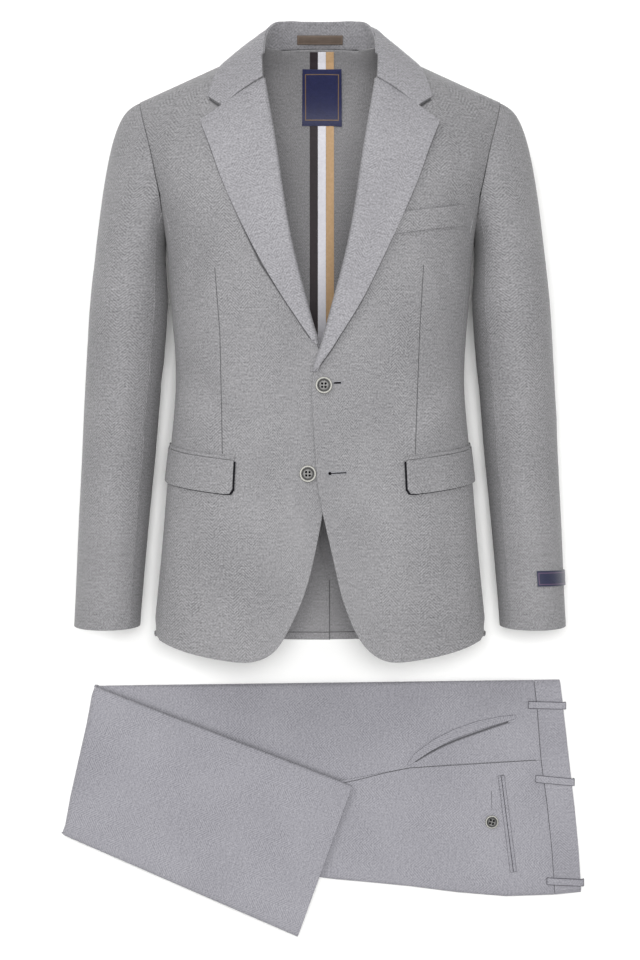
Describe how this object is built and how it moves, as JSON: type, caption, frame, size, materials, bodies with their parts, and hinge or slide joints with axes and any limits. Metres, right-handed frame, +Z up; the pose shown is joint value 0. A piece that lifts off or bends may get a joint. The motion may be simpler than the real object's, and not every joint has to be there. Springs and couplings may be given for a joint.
{
  "type": "unlined suit",
  "caption": "Unlined two-piece suit: a filled-out single-breasted jacket with notch lapels lying on its back, with its trousers folded flat beside its hem.",
  "frame": {"origin": "on the resting surface, under the middle of the whole suit's outline", "axes": "+Z up from the resting surface, +Y towards the collar, +X towards the wearer's left"},
  "size_m": [0.6675, 1.147, 0.2434],
  "materials": {
    "suiting": "light grey wool suiting, fine herringbone, matte",
    "trouser_suiting": "the same suiting, a little cooler",
    "button": "grey resin, soft gloss",
    "dark_tape": "woven tape, soft sheen",
    "white_tape": "woven tape, soft sheen",
    "tan_tape": "woven tape, soft sheen",
    "navy_label": "woven label, satin",
    "brown_label": "woven label, satin"
  },
  "bodies": {
    "root": {"front_left": "suiting", "front_right": "suiting", "side_left": "suiting", "side_right": "suiting", "back_left": "suiting", "back_right": "suiting", "lapel_left": "suiting", "lapel_right": "suiting", "collar_fall": "suiting", "collar_stand": "suiting", "top_sleeve_left": "suiting", "top_sleeve_right": "suiting", "under_sleeve_left": "suiting", "under_sleeve_right": "suiting", "flap_left": "suiting", "flap_right": "suiting", "jet_left": "suiting", "jet_right": "suiting", "breast_welt": "suiting", "trouser_core": "trouser_suiting", "leg_front": "trouser_suiting", "leg_back": "trouser_suiting", "waistband": "trouser_suiting", "belt_loop_1": "trouser_suiting", "belt_loop_2": "trouser_suiting", "belt_loop_3": "trouser_suiting", "slant_pocket_edge": "trouser_suiting", "back_pocket_jet_upper": "trouser_suiting", "back_pocket_jet_lower": "trouser_suiting", "lower_leg_core": "trouser_suiting", "lower_leg_top": "trouser_suiting", "button_top": "button", "button_low": "button", "back_pocket_button": "button", "tape_dark": "dark_tape", "tape_white": "white_tape", "tape_tan": "tan_tape", "neck_label": "navy_label", "sleeve_label": "navy_label", "stand_label": "brown_label"}
  },
  "joints": []
}
